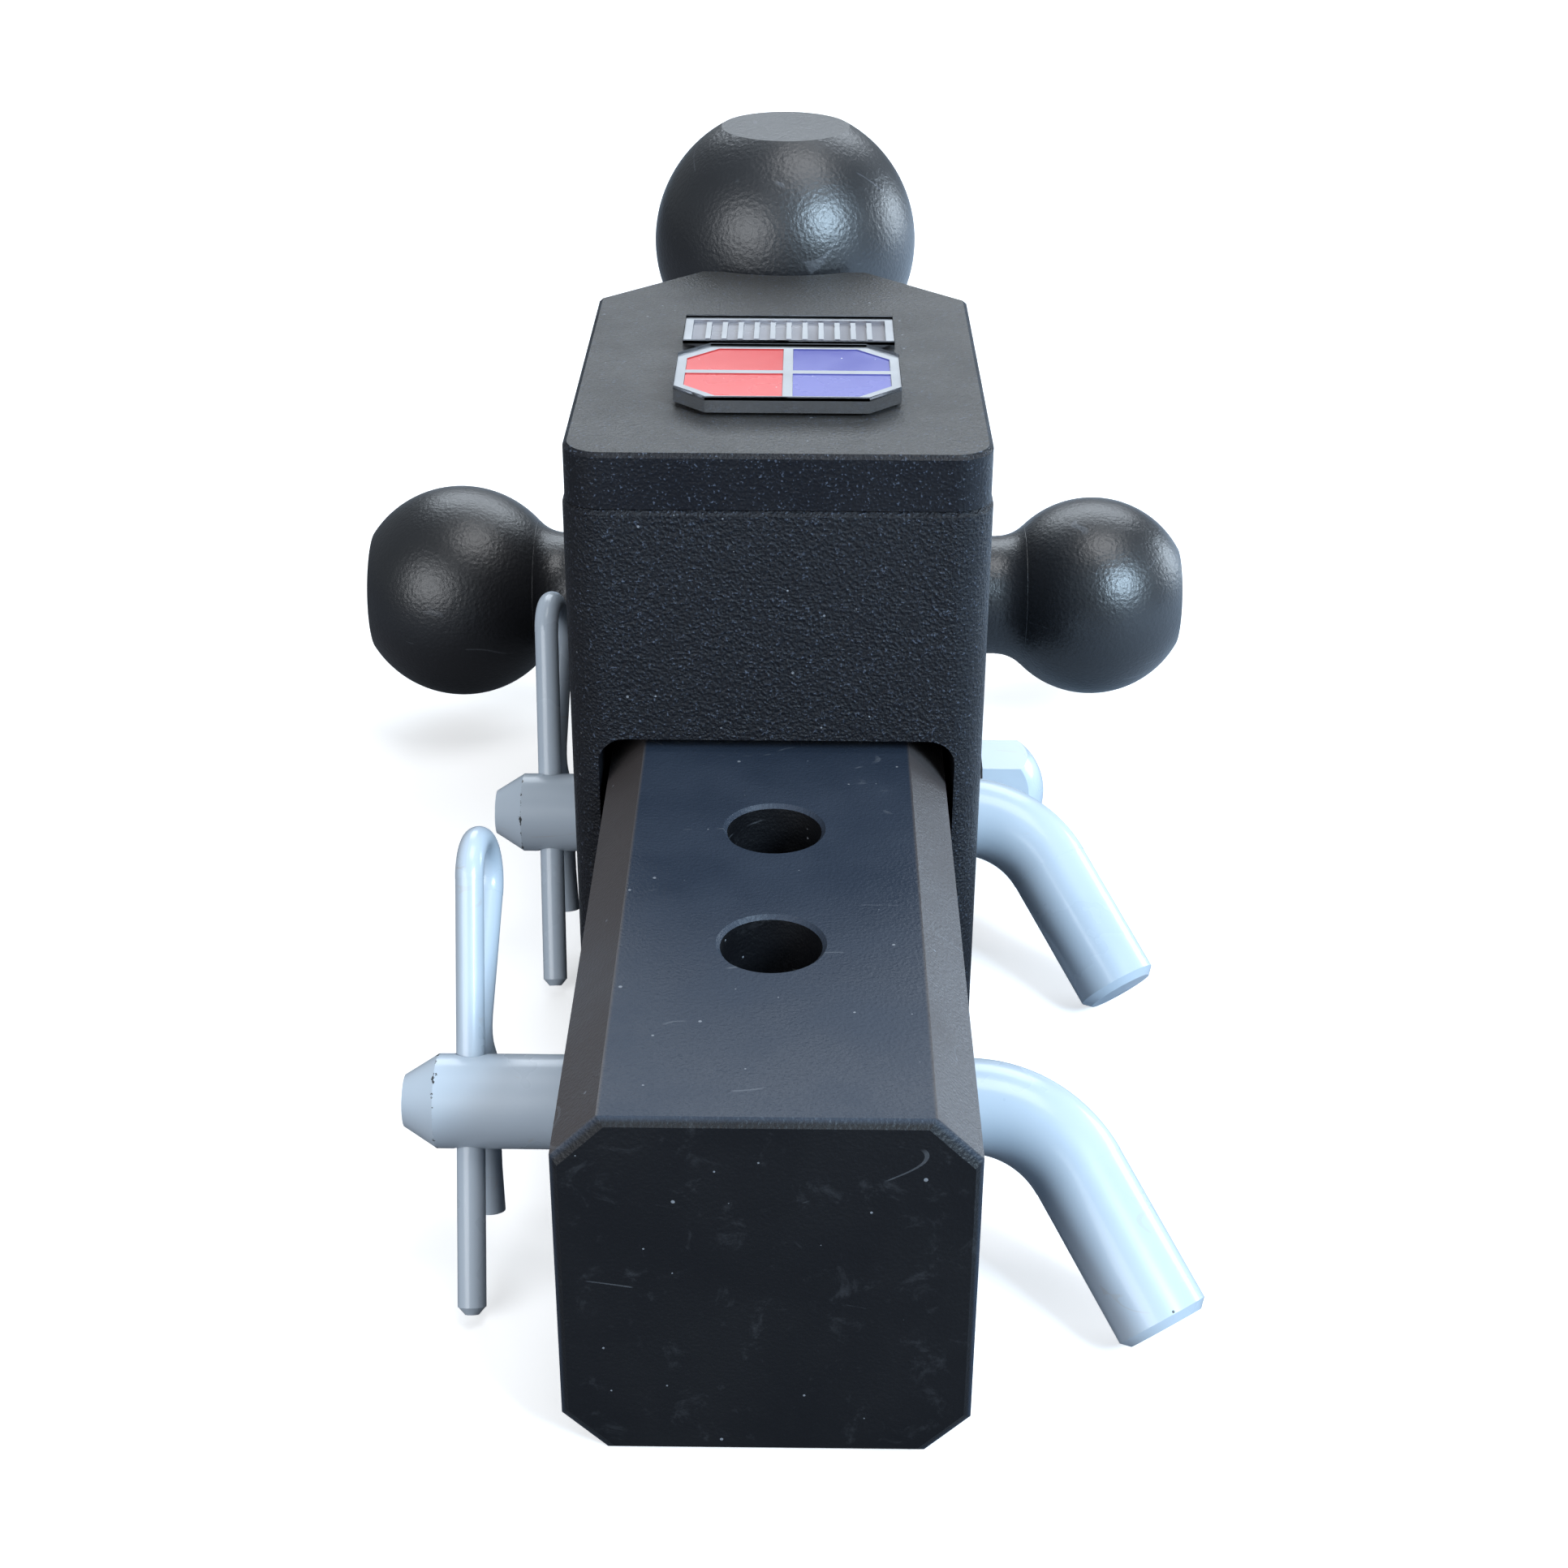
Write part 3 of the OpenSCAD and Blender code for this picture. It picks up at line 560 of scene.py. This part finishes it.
def makeFrame(name, outline, topZ, settings):
    mesh = bmesh.new()
    verts = [mesh.verts.new((x, y, topZ - settings["sunk"])) for x, y in outline]
    face = mesh.faces.new(verts)
    bmesh.ops.inset_region(mesh, faces=[face], thickness=settings["width"], use_even_offset=True,
                           use_boundary=True)
    bmesh.ops.delete(mesh, geom=[face], context="FACES")
    grown = bmesh.ops.extrude_face_region(mesh, geom=list(mesh.faces))["geom"]
    raised = [item for item in grown if isinstance(item, bmesh.types.BMVert)]
    bmesh.ops.translate(mesh, vec=(0, 0, settings["height"] + settings["sunk"]), verts=raised)
    onTop = [edge for edge in mesh.edges if all(vert.co.z > topZ for vert in edge.verts)]
    edges = [edge for edge in onTop if edge.calc_face_angle(0) > settings["sharp"]]
    bmesh.ops.bevel(mesh, geom=edges, offset=settings["bevel"], segments=3, profile=0.5,
                    affect="EDGES", material=-1, offset_type="OFFSET")
    return finishPiece(name, mesh, finishes["chrome"], "hitch", smooth=False)


def makeBadgeFrames():
    low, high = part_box("badge_plate")
    cut = badgeFrame["corner"]
    octagon = [(low.x + cut, low.y), (high.x - cut, low.y), (high.x, low.y + cut), (high.x, high.y - cut),
               (high.x - cut, high.y), (low.x + cut, high.y), (low.x, high.y - cut), (low.x, low.y + cut)]
    makeFrame("badgeFrame", octagon, high.z, badgeFrame)
    low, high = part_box("badge_bar")
    oblong = [(low.x, low.y), (high.x, low.y), (high.x, high.y), (low.x, high.y)]
    makeFrame("barFrame", oblong, high.z, barFrame)


makeNeckWelds()
makeHubWelds()
makeBadgeFrames()
print("welds and badge frames made")


# Floor, light and camera

stageLook = {"pale": (0.9, 0.9, 0.9), "dim": (0.14, 0.145, 0.16), "bright": (0.62, 0.72, 0.85),
             "slant": 0.5, "fade": (0.0, 0.4), "glow": 0.5, "size": 6.0, "below": 0.02 * mm}


def makeFloor():
    mesh = bmesh.new()
    bmesh.ops.create_grid(mesh, x_segments=1, y_segments=1, size=stageLook["size"])
    bmesh.ops.translate(mesh, vec=(0, 0, cadBox[0][2] - stageLook["below"]), verts=mesh.verts)
    material, tree, shader, place = startMaterial("paleFloor", specular=0.0)
    seen = tree.nodes.new("ShaderNodeLightPath").outputs["Is Camera Ray"]
    x, y = axisValues(tree, place)[:2]
    # painted light: to rays other than the camera's the floor is bright to the right and behind and dim in
    # front and on the left, a painted bright patch that the parts reflect
    slanted = mathNode(tree, "ADD", x, mathNode(tree, "MULTIPLY", y, stageLook["slant"]))
    across = spread(tree, slanted, *stageLook["fade"])
    paintedBounce = mixColour(tree, across, stageLook["dim"], stageLook["bright"])
    colour = mixColour(tree, seen, paintedBounce, stageLook["pale"])  # dimmer in reflections than to look at
    tree.links.new(colour, shader.inputs["Base Color"])
    shader.inputs["Roughness"].default_value = 1.0
    shader.inputs["Emission Color"].default_value = (1.0, 1.0, 1.0, 1.0)
    tree.links.new(mathNode(tree, "MULTIPLY", seen, stageLook["glow"]), shader.inputs["Emission Strength"])
    addObject("floor", mesh, material)


# Each softbox: place, what it points at, size, power and colour
softboxes = {
    "windowRight": ((0.75, -0.62, 0.72), (0.02, 0.18, 0.03), (0.42, 0.42), 20.0, (0.62, 0.82, 1.0)),
    "backSoftbox": ((0.1, 1.35, 0.95), (0, 0.15, 0.02), (1.4, 0.8), 13.5, (0.84, 0.92, 1.0)),
    "topSoftbox": ((0.25, 0.1, 1.2), (0, 0.15, 0), (0.6, 0.6), 5.0, (0.97, 0.98, 1.0)),
    "leftFill": ((-0.7, -0.75, 0.55), (-0.05, 0.1, 0.0), (0.9, 0.7), 8.0, (0.93, 0.96, 1.0)),
    "lowRight": ((1.0, 0.75, 0.22), (0.03, 0.17, 0.03), (0.5, 0.35), 5.0, (0.75, 0.88, 1.0)),
}


def addSoftbox(name, place, target, size, power, colour):
    light = bpy.data.lights.new(name, "AREA")
    light.shape = "RECTANGLE"
    light.size, light.size_y = size
    light.energy = power
    light.color = colour
    lamp = bpy.data.objects.new(name, light)
    lamp.location = place
    lamp.rotation_euler = (Vector(target) - Vector(place)).to_track_quat("-Z", "Y").to_euler()
    bpy.context.scene.collection.objects.link(lamp)


skyLook = {"colour": (0.8, 0.9, 1.0), "strength": 0.27, "inView": 0.95}


def makeSky():
    world = bpy.data.worlds.new("paleSky")
    world.use_nodes = True
    tree = world.node_tree
    sky = tree.nodes["Background"]
    sky.inputs["Color"].default_value = (*skyLook["colour"], 1.0)
    seen = tree.nodes.new("ShaderNodeLightPath").outputs["Is Camera Ray"]
    strength = spread(tree, seen, 0.0, 1.0, skyLook["strength"], skyLook["inView"])
    tree.links.new(strength, sky.inputs["Strength"])
    bpy.context.scene.world = world


for name, settings in softboxes.items():
    addSoftbox(name, *settings)
makeSky()
makeFloor()
bpy.context.scene.view_settings.view_transform = "Standard"

viewpoint = {"place": (4.4 * mm, -281.1 * mm, 237.65 * mm), "down": 28.2, "turn": -0.43, "roll": -0.29,
             "lens": 55.1, "sensor": 36, "nearest": 10 * mm}


def makeCamera():
    down, turn, roll = (math.radians(viewpoint[key]) for key in ("down", "turn", "roll"))
    ahead = Vector((math.sin(turn) * math.cos(down), math.cos(turn) * math.cos(down), -math.sin(down)))
    level = Vector((math.cos(turn), -math.sin(turn), 0))
    below = ahead.cross(level)
    right = math.cos(roll) * level + math.sin(roll) * below
    up = math.sin(roll) * level - math.cos(roll) * below
    data = bpy.data.cameras.new("camera")
    data.lens = viewpoint["lens"]
    data.sensor_width = viewpoint["sensor"]
    data.clip_start = viewpoint["nearest"]
    camera = bpy.data.objects.new("camera", data)
    turned = Matrix((right, up, -ahead)).transposed().to_4x4()
    camera.matrix_world = Matrix.Translation(viewpoint["place"]) @ turned
    bpy.context.scene.collection.objects.link(camera)
    bpy.context.scene.camera = camera


makeCamera()
print("floor, lights and camera set")
